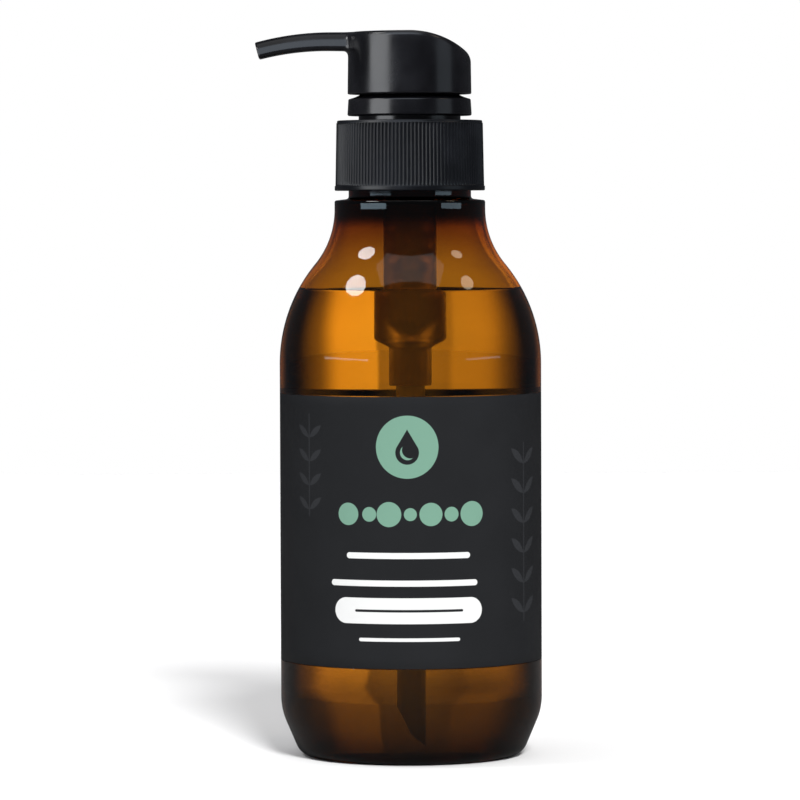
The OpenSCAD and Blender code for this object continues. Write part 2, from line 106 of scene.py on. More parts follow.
def arc(centre: Sequence[float], radius: float, start: float, end: float, steps: int) -> Array:
    """Points on a circle: the centre plus the radius times (cos, sin) of evenly spaced angles.

    Args:
        centre: the circle's middle.
        radius: its radius.
        start: the first angle, in radians.
        end: the last angle.
        steps: how many stretches lie between them.

    Returns:
        steps + 1 points.
    """
    angles = np.linspace(start, end, steps + 1)
    return np.asarray(centre) + radius * np.stack([np.cos(angles), np.sin(angles)], axis=1)


def outline(corners: Sequence[Sequence[float]], guard: float = 0.2, steps: int = 6) -> Array:
    """A line through corners, each rounded by its own radius.

    A corner is (r, z) or (r, z, radius). The arc in a corner touches both sides at radius / tan of half
    the angle between them, or at just under half of the shorter side. Next to each corner the straight
    sides get a point at the guard's distance, which keeps the shading of the long faces flat.

    Args:
        corners: the corners in order.
        guard: distance of the extra points from each corner.
        steps: stretches in each arc.

    Returns:
        The points of the line.
    """
    points = [np.array(c[:2], float) for c in corners]
    parts: list[Array] = [points[0][None]]
    for before, here, after, corner in zip(points, points[1:], points[2:], corners[1:]):
        radius = corner[2] if len(corner) > 2 else 0.0
        u, v = unit(before - here), unit(after - here)
        half = math.acos(float(np.clip(u @ v, -1, 1))) / 2
        shorter = min(np.linalg.norm(before - here), np.linalg.norm(after - here))
        if radius <= 0 or half > math.radians(89.5):
            parts.append(here[None])
            continue
        reach = min(radius / math.tan(half), 0.49 * shorter)
        size = reach * math.tan(half)
        middle = here + unit(u + v) * size / math.sin(half)
        first, last = here + u * reach - middle, here + v * reach - middle
        start = math.atan2(first[1], first[0])
        sweep = (math.atan2(last[1], last[0]) - start + math.pi) % TURN - math.pi
        parts.append(arc(middle, size, start, start + sweep, steps))
    parts.append(points[-1][None])
    line: list[Array] = [parts[0]]
    for previous, part in zip(parts, parts[1:]):
        a, b = previous[-1], part[0]
        length = np.linalg.norm(b - a)
        if length > 3 * guard:
            line.append(np.array([a + unit(b - a) * guard, b - unit(b - a) * guard]))
        line.append(part)
    return np.concatenate(line)


# ---------------------------------------------------------------- meshes


def signed_volume(points: Array, faces: Array) -> float:
    """The volume inside triangles: a sixth of the sum of each one's a . (b x c)."""
    a, b, c = (points[faces[:, i]] for i in range(3))
    return float(np.einsum("ij,ij->i", a, np.cross(b, c)).sum() / 6)


def piece(name: str, points: Array, quads: Array, fans: Array | None = None) -> bpy.types.Object:
    """A mesh object at the origin, with its faces turned outwards.

    Args:
        name: the object's name.
        points: its vertices, in millimetres.
        quads: four vertex numbers a face.
        fans: three vertex numbers a face, which close its poles.

    Returns:
        The new object, in the scene.
    """
    triangles = np.concatenate([quads[:, [0, 1, 2]], quads[:, [0, 2, 3]]])
    if fans is not None:
        triangles = np.concatenate([triangles, fans])
    if signed_volume(points, triangles) < 0:
        quads = quads[:, ::-1]
        fans = None if fans is None else fans[:, ::-1]
    mesh = bpy.data.meshes.new(name)
    faces = quads.tolist() + ([] if fans is None else fans.tolist())
    mesh.from_pydata((points * MM).tolist(), [], faces)
    mesh.shade_smooth()
    made = bpy.data.objects.new(name, mesh)
    bpy.context.scene.collection.objects.link(made)
    return made


def ring_quads(rows: int, columns: int, closed: bool) -> Array:
    """The quads between neighbouring rows of a grid whose columns run round.

    Args:
        rows: points along the outline.
        columns: points round the axis.
        closed: whether the last row joins the first.

    Returns:
        Four vertex numbers a face.
    """
    row = np.arange(rows if closed else rows - 1)[:, None]
    column = np.arange(columns)[None]
    here, above = row * columns, (row + 1) % rows * columns
    beside = (column + 1) % columns
    corners = [here + column, here + beside, above + beside, above + column]
    return np.stack(corners, axis=-1).reshape(-1, 4)


def turned(
    name: str,
    line: Array,
    columns: int = COLUMNS,
    relief: Callable[[Array, Array, Array], Array] | None = None,
) -> bpy.types.Object:
    """The surface that an outline sweeps round the Z axis: (r cos a, r sin a, z).

    An outline that starts and ends on the axis is closed there by a fan of triangles. Any other outline
    is a closed loop.

    Args:
        name: the object's name.
        line: (r, z) points.
        columns: faces round the axis.
        relief: gives a new radius for each (r, z, angle), for ribs, threads and slots.

    Returns:
        The new object.
    """
    poles = line[0][0] < 1e-9
    rings = line[1:-1] if poles else line
    angle = np.arange(columns)[None] * TURN / columns
    r = np.repeat(rings[:, :1], columns, axis=1)
    z = np.repeat(rings[:, 1:], columns, axis=1)
    if relief is not None:
        r = relief(r, z, np.repeat(angle, len(rings), axis=0))
    points = np.stack([r * np.cos(angle), r * np.sin(angle), z], axis=-1).reshape(-1, 3)
    quads = ring_quads(len(rings), columns, not poles)
    if not poles:
        return piece(name, points, quads)
    start, end = len(points), len(points) + 1
    points = np.concatenate([points, [[0, 0, line[0][1]], [0, 0, line[-1][1]]]])
    around = np.arange(columns)
    beside, last = (around + 1) % columns, (len(rings) - 1) * columns
    foot = np.stack([np.full(columns, start), beside, around], axis=1)
    top = np.stack([last + around, last + beside, np.full(columns, end)], axis=1)
    return piece(name, points, quads, np.concatenate([foot, top]))


# ---------------------------------------------------------------- blended solids


def round_max(a: Array, b: Array, radius: float | Array) -> Array:
    """Where two distances overlap, with their shared edge rounded by a radius."""
    corner = np.hypot(np.maximum(a + radius, 0), np.maximum(b + radius, 0))
    return np.minimum(-radius, np.maximum(a, b)) + corner


def soft_min(a: Array, b: Array, width: float) -> Array:
    """The join of two distances: the lesser one, less h squared / (4 width) where they differ by less
    than the width, with h the width less their difference."""
    h = np.maximum(width - np.abs(a - b), 0)
    return np.minimum(a, b) - h * h / (4 * width)


def slope(distance: Callable[[Array], Array], points: Array, step: float = 0.01) -> Array:
    """The gradient of a distance by central differences.

    Args:
        distance: the function of points.
        points: where it is wanted.
        step: half of the spacing of the differences.

    Returns:
        One vector a point.
    """
    shifts = np.eye(3) * step
    return np.stack([distance(points + s) - distance(points - s) for s in shifts], axis=1) / (2 * step)


def net(distance: Callable[[Array], Array], low: Array, high: Array, cell: float) -> tuple[Array, Array]:
    """The surface on which a distance is nought, as quads.

    The box is cut into cells. A cell that the surface passes through gets one vertex, at the mean of the
    places where the surface crosses its edges. Each crossed edge becomes a quad between its four cells.
    The vertices are then moved along the gradient on to the surface, in three Newton steps.

    Args:
        distance: the signed distance of points.
        low: the box's lowest corner.
        high: its highest corner.
        cell: side of a cell.

    Returns:
        The vertices and the quads.
    """
    counts = np.ceil((high - low) / cell).astype(int) + 1
    axes = [low[i] + cell * np.arange(counts[i]) for i in range(3)]
    nodes = np.stack(np.meshgrid(*axes, indexing="ij"), axis=-1)
    values = distance(nodes.reshape(-1, 3)).reshape(nodes.shape[:3])
    total = np.zeros((*(counts - 1), 3))
    hits = np.zeros(counts - 1)
    edges = []
    for axis in range(3):
        here = np.moveaxis(values, axis, 0)
        a, b = here[:-1], here[1:]
        crossed = (a < 0) != (b < 0)
        crossed[:, [0, -1], :] = False
        crossed[:, :, [0, -1]] = False
        where = np.argwhere(crossed)
        share = a[crossed] / (a[crossed] - b[crossed])
        order = [axis] + [i for i in range(3) if i != axis]
        place = np.empty((len(where), 3))
        place[:, order] = low[order] + cell * where
        place[:, axis] += cell * share
        index = np.empty_like(where)
        index[:, order] = where
        sides = order[1:]
        around = []
        for du, dv in ((0, 0), (1, 0), (1, 1), (0, 1)):
            at = index.copy()
            at[:, sides[0]] -= du
            at[:, sides[1]] -= dv
            np.add.at(total, tuple(at.T), place)
            np.add.at(hits, tuple(at.T), 1)
            around.append(at)
        flip = (a[crossed] < 0) != (axis == 1)
        edges.append((np.stack(around, axis=1), flip))
    used = hits > 0
    number = np.full(used.shape, -1)
    number[used] = np.arange(used.sum())
    points = total[used] / hits[used][:, None]
    quads = []
    for around, flip in edges:
        found = number[tuple(np.moveaxis(around, -1, 0))]
        found[flip] = found[flip][:, ::-1]
        quads.append(found)
    for _ in range(3):
        g = slope(distance, points)
        points = points - g * (distance(points) / np.maximum((g * g).sum(axis=1), 1e-6))[:, None]
    return points, np.concatenate(quads)


# ---------------------------------------------------------------- shader maths


class Signal:
    """A shader socket that takes part in Python arithmetic through Math nodes."""

    def __init__(self, nodes: "Nodes", socket: bpy.types.NodeSocket) -> None:
        """Wraps an output socket of a tree."""
        self.nodes = nodes
        self.socket = socket

    def maths(self, operation: str, *others: "Signal | float") -> "Signal":
        """A Math node on this signal and others."""
        values = {i: v for i, v in enumerate((self, *others))}
        return self.nodes.add("ShaderNodeMath", {"operation": operation}, values)

    def __add__(self, other: "Signal | float") -> "Signal":
        """This plus other."""
        return self.maths("ADD", other)

    __radd__ = __add__

    def __mul__(self, other: "Signal | float") -> "Signal":
        """This times other."""
        return self.maths("MULTIPLY", other)

    __rmul__ = __mul__

    def __sub__(self, other: "Signal | float") -> "Signal":
        """This less other."""
        return self.maths("SUBTRACT", other)

    def __rsub__(self, other: float) -> "Signal":
        """Other less this."""
        return self.nodes.add("ShaderNodeMath", {"operation": "SUBTRACT"}, {0: other, 1: self})

    def __truediv__(self, other: "Signal | float") -> "Signal":
        """This over other."""
        return self.maths("DIVIDE", other)

    def __abs__(self) -> "Signal":
        """This without its sign."""
        return self.maths("ABSOLUTE")

    def at_least(self, other: "Signal | float") -> "Signal":
        """The greater of this and other."""
        return self.maths("MAXIMUM", other)

    def at_most(self, other: "Signal | float") -> "Signal":
        """The lesser of this and other."""
        return self.maths("MINIMUM", other)

    def ramp(self, start: float, end: float, low: float = 0.0, high: float = 1.0) -> "Signal":
        """A smooth step from low at start to high at end."""
        settings = {"interpolation_type": "SMOOTHSTEP"}
        inputs = {0: self, 1: start, 2: end, 3: low, 4: high}
        return self.nodes.add("ShaderNodeMapRange", settings, inputs)


class Nodes:
    """Builds the node tree of a material or a world."""

    def __init__(self, tree: bpy.types.NodeTree) -> None:
        """Starts from an empty tree."""
        self.tree = tree
        tree.nodes.clear()

    def add(
        self, kind: str, settings: dict[str, Any] | None = None,
        inputs: dict[Any, Any] | None = None, output: int | str = 0,
    ) -> Signal:
        """Makes one node.

        Args:
            kind: the node's type.
            settings: its properties, set first.
            inputs: the values or signals of its sockets, by number or name.
            output: which of its outputs is wanted.

        Returns:
            That output.
        """
        node = self.tree.nodes.new(kind)
        for name, value in (settings or {}).items():
            setattr(node, name, value)
        for key, value in (inputs or {}).items():
            if isinstance(value, Signal):
                self.tree.links.new(value.socket, node.inputs[key])
            elif isinstance(value, tuple) and len(value) == 3 and node.inputs[key].type == "RGBA":
                node.inputs[key].default_value = (*value, 1)
            else:
                node.inputs[key].default_value = value
        return Signal(self, node.outputs[output]) if node.outputs else Signal(self, None)

    def mix(self, share: Signal | float, a: Signal | Colour, b: Signal | Colour) -> Signal:
        """A colour between a and b."""
        return self.add("ShaderNodeMix", {"data_type": "RGBA"}, {0: share, 6: a, 7: b}, 2)

    def place(self) -> Signal:
        """The piece's own coordinates, in metres."""
        return self.add("ShaderNodeTexCoord", output="Object")

    def axes(self, vector: Signal) -> tuple[Signal, Signal, Signal]:
        """The three parts of a vector."""
        node = self.add("ShaderNodeSeparateXYZ", None, {0: vector}).socket.node
        return tuple(Signal(self, node.outputs[i]) for i in range(3))

    def noise(self, size: float, detail: float = 2.0) -> Signal:
        """Noise with lumps of a size in millimetres, about 0.5."""
        inputs = {"Vector": self.place(), "Scale": 1 / (size * MM), "Detail": detail}
        return self.add("ShaderNodeTexNoise", None, inputs)

    def bump(self, height: Signal, depth: float) -> Signal:
        """A bump of a depth in millimetres."""
        inputs = {"Height": height, "Distance": depth * MM, "Strength": 1.0}
        return self.add("ShaderNodeBump", None, inputs)


@dataclass(frozen=True)
class Finish:
    """What a surface is made of. Each kind of finish fills in its own shader."""

    name: str

    def shade(self, nodes: Nodes) -> tuple[dict[str, Any], dict[str, Any] | None]:
        """The Principled inputs, and those of the absorption inside, if any."""
        raise NotImplementedError

    def material(self) -> bpy.types.Material:
        """The finish as a material, made once."""
        found = bpy.data.materials.get(self.name)
        if found:
            return found
        made = bpy.data.materials.new(self.name)
        made.use_nodes = True
        nodes = Nodes(made.node_tree)
        surface, inside = self.shade(nodes)
        shader = nodes.add("ShaderNodeBsdfPrincipled", None, surface)
        ends = {"Surface": shader}
        if inside:
            ends["Volume"] = nodes.add("ShaderNodeVolumeAbsorption", None, inside)
        nodes.add("ShaderNodeOutputMaterial", None, ends)
        return made

    def dress(self, obj: bpy.types.Object) -> None:
        """Gives an object this finish, in its own material slots."""
        if not obj.material_slots:
            obj.data.materials.append(self.material())
        for slot in obj.material_slots:
            slot.link = "OBJECT"
            slot.material = self.material()


@dataclass(frozen=True)
class ClearAmber(Finish):
    """Clear amber plastic, blown into a mould, so its wall waves a little.

    It is deeper in colour over three stretches of height, each from where it starts to where it is full,
    in metres: redder at the shoulder, and near black at the throat and the foot, which is painted shade.
    """

    tint: Colour = (0.966, 0.752, 0.040)
    density: float = 2400.0
    wave: float = 0.03
    body: Colour = (1.0, 0.97, 0.93)
    shoulder: Colour = (0.46, 0.22, 0.18)
    shoulder_z: tuple[float, float] = (0.113, 0.131)
    # painted shade: near black at the throat, where the neck's inside is shaded
    throat_shade: Colour = (0.06, 0.035, 0.035)
    throat_z: tuple[float, float] = (0.1245, 0.1285)
    # painted shade: near black at the foot, where the base is shaded
    foot: Colour = (0.05, 0.025, 0.02)
    foot_z: tuple[float, float] = (0.034, -0.004)

    def shade(self, nodes: Nodes) -> tuple[dict[str, Any], dict[str, Any] | None]:
        """Tinted through its thickness, deeper in colour towards the neck, with painted shade at the
        throat and the foot.
        """
        _, _, z = nodes.axes(nodes.place())
        stretches = (
            (self.shoulder, self.shoulder_z), (self.throat_shade, self.throat_z), (self.foot, self.foot_z)
        )
        colour: Signal | Colour = self.body
        # the throat and foot stretches paint shade, near black
        for deeper, stretch in stretches:
            colour = nodes.mix(z.ramp(*stretch), colour, deeper)
        wavy = nodes.bump(nodes.noise(14.0, 1.0), self.wave)
        return {
            "Base Color": colour,
            "Roughness": nodes.noise(30.0).ramp(0.3, 0.8, 0.015, 0.05),
            "IOR": 1.57,
            "Transmission Weight": 1.0,
            "Normal": wavy,
        }, {"Color": self.tint, "Density": self.density}


@dataclass(frozen=True)
class ClearLiquid(Finish):
    """Clear shampoo, a little yellow."""

    tint: Colour = (0.96, 0.86, 0.5)
    density: float = 12.0

    def shade(self, nodes: Nodes) -> tuple[dict[str, Any], dict[str, Any] | None]:
        """Tinted through its depth, with a faint haze."""
        haze = nodes.noise(25.0).ramp(0.35, 0.75, 0.0, 0.03)
        return {
            "Base Color": (1.0, 0.98, 0.94),
            "Roughness": haze,
            "IOR": 1.37,
            "Transmission Weight": 1.0,
        }, {"Color": self.tint, "Density": self.density}


@dataclass(frozen=True)
class BlackPlastic(Finish):
    """Black moulded plastic, glossy or satin."""

    colour: Colour = (0.0018, 0.0018, 0.0024)
    roughness: tuple[float, float] = (0.19, 0.28)
    grain: float = 0.6
    depth: float = 0.0015
    ior: float = 1.5

    def shade(self, nodes: Nodes) -> tuple[dict[str, Any], dict[str, Any] | None]:
        """Slightly cloudy in gloss and colour, with the mould's grain."""
        cloud = nodes.noise(9.0, 3.0)
        paler = tuple(c * 2 + 0.0008 for c in self.colour)
        return {
            "Base Color": nodes.mix(cloud.ramp(0.35, 0.75), self.colour, paler),
            "Roughness": cloud.ramp(0.3, 0.75, *self.roughness),
            "IOR": self.ior,
            "Normal": nodes.bump(nodes.noise(self.grain, 3.0), self.depth),
        }, None


@dataclass(frozen=True)
class MilkyPlastic(Finish):
    """Natural, uncoloured plastic, which lets a little light through."""

    colour: Colour = (0.74, 0.73, 0.68)
    shine: float = 0.35
    through: float = 0.15

    def shade(self, nodes: Nodes) -> tuple[dict[str, Any], dict[str, Any] | None]:
        """Faintly cloudy, with a soft gloss."""
        cloud = nodes.noise(4.0, 3.0)
        darker = tuple(c * 0.86 for c in self.colour)
        return {
            "Base Color": nodes.mix(cloud.ramp(0.35, 0.7), self.colour, darker),
            "Roughness": cloud.ramp(0.3, 0.7, self.shine, self.shine + 0.15),
            "IOR": 1.5,
            "Transmission Weight": self.through,
            "Normal": nodes.bump(nodes.noise(0.8, 2.0), 0.004),
        }, None


@dataclass(frozen=True)
class WireSteel(Finish):
    """Drawn and polished stainless steel."""

    colour: Colour = (0.62, 0.62, 0.64)

    def shade(self, nodes: Nodes) -> tuple[dict[str, Any], dict[str, Any] | None]:
        """Metal with drawing marks in its gloss."""
        marks = nodes.noise(0.5, 4.0)
        darker = tuple(c * 0.8 for c in self.colour)
        return {
            "Base Color": nodes.mix(marks.ramp(0.35, 0.7), self.colour, darker),
            "Metallic": 1.0,
            "Roughness": marks.ramp(0.3, 0.7, 0.18, 0.34),
        }, None


@dataclass(frozen=True)
class LabelFilm(Finish):
    """Matt charcoal film with a plain print: a drop in a disc, bubbles, rules, a bar and sprigs.

    The print is in millimetres across from the front's middle and up from the base. A disc is (across,
    up, radius), a bar (left, right, low, high), a bubble (across, radius) and a sprig (stem, low, high,
    size).
    """

    paper: Colour = (0.0115, 0.0121, 0.0135)
    mint: Colour = (0.131, 0.25, 0.188)
    white: Colour = (0.58, 0.585, 0.58)
    edge: float = 0.06
    mark: tuple[float, float, float] = (-0.9, 74.6, 7.3)
    drop: tuple[float, float, float] = (-0.9, 73.3, 2.75)
    bubble_z: float = 59.0
    bubbles: tuple[tuple[float, float], ...] = (
        (-15.2, 2.6), (-9.9, 1.7), (-5.2, 2.9), (-0.2, 1.5), (4.6, 2.7), (9.5, 1.7), (14.6, 2.9)
    )
    rules: tuple[tuple[float, float, float, float], ...] = (
        (-15.6, 14.1, 48.7, 50.1), (-19.8, 16.0, 42.3, 43.7), (-12.5, 11.5, 29.5, 30.3)
    )
    pill: tuple[float, float, float, float] = (-18.8, 17.2, 33.6, 39.6)
    pill_rule: tuple[float, float, float, float] = (-13.5, 12.3, 36.3, 36.9)
    sprigs: tuple[tuple[float, float, float, float], ...] = (
        (31.5, 33.0, 75.0, 1.0), (-27.0, 58.0, 82.0, 0.8)
    )
    sprig_tilt: float = 0.64

    def shade(self, nodes: Nodes) -> tuple[dict[str, Any], dict[str, Any] | None]:
        """Paints each printed shape over the film, from its distance in millimetres."""
        across, up, _ = nodes.axes(nodes.add("ShaderNodeUVMap", {"uv_map": "label"}))
        across, up = across * MAP_ACROSS - MAP_ACROSS / 2, up * MAP_UP

        def ink(distance: Signal) -> Signal:
            """One inside a shape, nought outside it."""
            return distance.ramp(self.edge, -self.edge)

        def disc(x: float, z: float, radius: float) -> Signal:
            """Distance from a disc: that from its middle, less its radius."""
            dx, dz = across - x, up - z
            return (dx * dx + dz * dz).maths("SQRT") - radius

        def bar(left: float, right: float, low: float, high: float) -> Signal:
            """Distance from a bar with round ends: a disc carried along its middle line."""
            radius = (high - low) / 2
            dx = (abs(across - (left + right) / 2) - ((right - left) / 2 - radius)).at_least(0.0)
            dz = up - (low + high) / 2
            return (dx * dx + dz * dz).maths("SQRT") - radius

        # the drop: a disc below, and above it a cone whose width falls off to its tip
        drop_x, drop_z, drop_r = self.drop
        dx, dz = abs(across + -drop_x), up - drop_z
        cone = dx * 0.86 + dz * 0.51 - drop_r
        drop = disc(*self.drop).at_most(cone.at_least(1.4 - dz))
        bite = disc(drop_x + 0.75, drop_z + 0.65, 1.95)
        glint = disc(drop_x + 0.1, drop_z + 0.05, 1.75).at_least(0.0 - bite)
        bubbles = reduce(Signal.at_most, [disc(x, self.bubble_z, radius) for x, radius in self.bubbles])
        rules = reduce(Signal.at_most, [bar(*rule) for rule in self.rules])
        paint = self.paper_colour(nodes, across, up)
        for shape, colour in (
            (disc(*self.mark), self.mint), (drop, self.paper), (glint, self.mint), (bubbles, self.mint),
            (rules, self.white), (bar(*self.pill), self.white), (bar(*self.pill_rule), self.paper),
        ):
            paint = nodes.mix(ink(shape), paint, colour)
        grain = nodes.noise(0.35, 3.0)
        return {
            "Base Color": paint,
            "Roughness": nodes.noise(12.0, 3.0).ramp(0.3, 0.75, 0.44, 0.56),
            "IOR": 1.30,
            "Normal": nodes.bump(grain, 0.004),
        }, None

    def paper_colour(self, nodes: Nodes, across: Signal, up: Signal) -> Signal:
        """The film with its faint sprigs: a stem, and leaves that are where two discs overlap.

        Args:
            nodes: the tree.
            across: millimetres round the label from its front's middle.
            up: height in millimetres.

        Returns:
            The film's colour.
        """
        sprigs: list[Signal] = []
        cos, sin = math.cos(self.sprig_tilt), math.sin(self.sprig_tilt)
        for stem, low, high, size in self.sprigs:
            pitch, reach, spread = 7.0 * size, 5.2 * size, 4.3 * size
            side = across - stem
            cell = (up - low).maths("MODULO", pitch)
            along = abs(side) * cos + (cell - pitch * 0.28) * sin - reach * 0.62
            off = (cell - pitch * 0.28) * cos - abs(side) * sin
            upper = (along * along + (off - spread) * (off - spread)).maths("SQRT")
            lower = (along * along + (off + spread) * (off + spread)).maths("SQRT")
            leaf = upper.at_least(lower) - spread * 1.22
            stalk = abs(side) - 0.18
            within = abs(up - (low + high) / 2) - (high - low) / 2
            sprigs.append(leaf.at_most(stalk).at_least(within).ramp(self.edge, -self.edge))
        faint = reduce(Signal.at_least, sprigs)
        lighter = tuple(c * 2.0 for c in self.paper)
        cloud = nodes.noise(18.0, 2.0).ramp(0.3, 0.75)
        ground = nodes.mix(cloud, self.paper, tuple(c * 1.15 for c in self.paper))
        return nodes.mix(faint, ground, lighter)


AMBER = ClearAmber("amber_pet")
LIQUID = ClearLiquid("clear_shampoo")
FILM = LabelFilm("charcoal_film")
GLOSS = BlackPlastic("gloss_black")
SATIN = BlackPlastic("satin_black", (0.0018, 0.0021, 0.003), (0.28, 0.40), 0.45, 0.004, 1.38)
MILKY = MilkyPlastic("natural_plastic")
CLOUDY = MilkyPlastic("housing_plastic", (0.93, 0.78, 0.70), 0.3, 0.92)
TUBE = MilkyPlastic("tube_plastic", (0.90, 0.86, 0.80), 0.2, 0.88)
SEAL = MilkyPlastic("seal_plastic", (0.68, 0.67, 0.63), 0.55, 0.0)
STEEL = WireSteel("spring_steel")


# ---------------------------------------------------------------- bottle


@dataclass
class Bottle:
    """The blown bottle: hollow base, heel, straight body with a label panel, long shoulder and neck."""

    body_r: float
    mouth_z: float
    panel_low: float
    panel_high: float
    panel_t: float = 0.15
    wall: float = 0.9
    floor_t: float = 1.2
    push_h: float = 3.0
    heel_z: float = 11.0
    foot_inset: float = 4.7
    ring_w: float = 5.3
    shoulder_z: float = 93.0
    throat_z: float = 129.6
    throat_h: float = 2.0
    neck_r: float = 14.5
    neck_wall: float = 1.6
    ledge_w: float = 3.35
    shoulder_share: float = 0.555
    thread_t: float = 1.1
    thread_w: float = 1.9
    pitch: float = 4.233
    turns: float = 1.5
    thread_drop: float = 2.7
    push_round: float = 14.0
    foot_round: float = 4.0
    heel_round: float = 15.0
    panel_edge: float = 0.08
    arc_steps: int = 28
    neck_row: float = 0.22

    def base(self, inset: float) -> list[list[float]]:
        """The hollow of the base, raised by an inset."""
        ring_r = self.body_r - self.foot_inset - self.ring_w
        return [[0, self.push_h + inset], [ring_r - 6, self.push_h + inset, self.push_round],
                [ring_r + inset * 0.2, inset, 1.2]]

    def heel(self, wall: float, low: float) -> list[list[float]]:
        """The heel's two corners, a wall inside the outer surface, with the floor at a height."""
        foot_r = self.body_r - self.foot_inset
        lean = math.atan((self.body_r - foot_r) / self.heel_z)
        sole_r = foot_r + (low * math.sin(lean) - wall) / math.cos(lean)
        return [[sole_r, low, self.foot_round - wall],
                [self.body_r - wall, self.heel_z + wall * math.tan(lean / 2), self.heel_round - wall]]

    def shoulder(self, wall: float) -> Array:
        """The shoulder's two arcs, which meet where both slope alike, a wall inside the outside."""
        throat_r = self.neck_r + self.ledge_w
        height = self.throat_z - self.shoulder_z
        turn = 2 * math.atan((self.body_r - throat_r) / height)
        arcs = height / math.sin(turn)
        lower = arcs / (1 + self.shoulder_share)
        upper = arcs - lower
        steps = self.arc_steps
        first = arc([self.body_r - lower, self.shoulder_z], lower - wall, 0, turn, steps)
        second = arc([throat_r + upper, self.throat_z], upper + wall, math.pi + turn, math.pi, steps)
        return np.concatenate([first, second[1:]])

    def outside(self) -> Array:
        """The outer line, from the base's middle to the mouth."""
        throat_r, ledge = self.neck_r + self.ledge_w, self.throat_z + self.throat_h
        deep, edge = self.body_r - self.panel_t, self.panel_edge
        foot = outline(
            self.base(0) + self.heel(0, 0)
            + [[self.body_r, self.panel_low, edge], [deep, self.panel_low + edge, edge],
               [deep, self.panel_high - edge, edge], [self.body_r, self.panel_high, edge],
               [self.body_r, self.shoulder_z - 0.5]], steps=10)
        neck_low = ledge + 1.6
        top = outline([[throat_r, self.throat_z + 0.3], [throat_r, ledge, 0.5],
                       [self.neck_r, ledge + 0.4, 1.0], [self.neck_r, neck_low]])
        rows = np.arange(neck_low + 0.2, self.mouth_z - 0.6, self.neck_row)
        neck = np.stack([np.full(len(rows), self.neck_r), rows], axis=1)
        return np.concatenate([foot, self.shoulder(0), top, neck])

    def inside(self) -> Array:
        """The inner line, from the mouth down to the floor's middle."""
        bore_r, throat_r = self.neck_r - self.neck_wall, self.neck_r + self.ledge_w
        ledge = self.throat_z + self.throat_h
        mouth = outline([[self.neck_r, self.mouth_z - 0.5], [self.neck_r, self.mouth_z, 0.4],
                         [bore_r, self.mouth_z, 0.3], [bore_r, ledge - self.wall + 1.2, 1.0],
                         [throat_r - self.wall, ledge - self.wall, 1.0],
                         [throat_r - self.wall, self.throat_z + 0.1]])
        shoulder, cup = self.shoulder(self.wall), self.cup(self.wall, self.floor_t)
        return np.concatenate([mouth, shoulder[::-1], cup[::-1]])

    def cup(self, wall: float, floor: float) -> Array:
        """The inner line of base, heel and body, a wall and a floor inside the outer one."""
        brim = [[self.body_r - wall, self.shoulder_z - 0.5]]
        return outline(self.base(floor) + self.heel(wall, floor) + brim, steps=10)

    def thread(self, r: Array, z: Array, angle: Array) -> Array:
        """The neck's radius with its thread: a helix rises by one pitch a turn, and the wall stands out
        by the thread's depth within half of its width of that helix, falling off along its flanks."""
        low = self.mouth_z - self.thread_drop - self.turns * self.pitch
        on_neck = (np.abs(r - self.neck_r) < 0.01) & (z > self.throat_z + self.throat_h + 1)
        height = np.zeros_like(r)
        for lap in range(math.ceil(self.turns)):
            share = angle / TURN + lap
            off = np.abs(z - (low + self.pitch * share))
            ends = np.clip(np.minimum(share, self.turns - share) * 9, 0, 1)
            flank = np.clip((self.thread_w / 2 - off) / (self.thread_w / 4), 0, 1)
            height = np.maximum(height, flank * ends)
        return np.where(on_neck, r + self.thread_t * height, r)

    def build(self) -> bpy.types.Object:
        """Makes the bottle's one closed surface, outside and inside."""
        line = np.concatenate([self.outside(), self.inside()])
        made = turned("bottle_shell", line, relief=self.thread)
        AMBER.dress(made)
        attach(made, Body.BOTTLE.value)
        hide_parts("bottle")
        return made


@dataclass
class Filling:
    """The shampoo, which wets the wall and the pump and climbs both a little."""

    bottle: Bottle
    level: float
    lap: float = 0.15
    climb: float = 1.3
    pump_climb: float = 0.6
    barrel_r: float = 6.3
    steps: int = 60

    def wall_r(self, z: float) -> float:
        """The bottle's inner radius at a height in its shoulder."""
        line = self.bottle.shoulder(self.bottle.wall - self.lap)
        return float(np.interp(z, line[:, 1], line[:, 0]))

    def build(self) -> bpy.types.Object:
        """Makes the liquid. Its skin lies inside the wall's thickness, so no air shows between them, and
        it fills the pump too, as it does once the pump has been worked.

        Its surface is the level plus the climb times e to the power of minus the distance from the wall
        over the climb, and a share of the same from the pump.
        """
        rim = self.level + self.climb
        shell = self.bottle.shoulder(self.bottle.wall - self.lap)
        shell = shell[shell[:, 1] < rim]
        outer_r = self.wall_r(rim)
        share = np.linspace(0, 1, self.steps)
        radii = outer_r * (1 - share + np.sin(TURN * share) / TURN)
        at_pump = self.pump_climb * np.exp(-np.abs(radii - self.barrel_r) / self.climb)
        rise = np.exp((radii - outer_r) / self.climb) + at_pump
        surface = np.stack([radii, self.level + self.climb * rise], axis=1)
        surface[-1, 0] = 0
        cup = self.bottle.cup(self.bottle.wall - self.lap, self.bottle.floor_t - self.lap)
        made = turned("shampoo_fill", np.concatenate([cup, shell, surface]))
        LIQUID.dress(made)
        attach(made, Body.BOTTLE.value)
        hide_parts("shampoo")
        return made


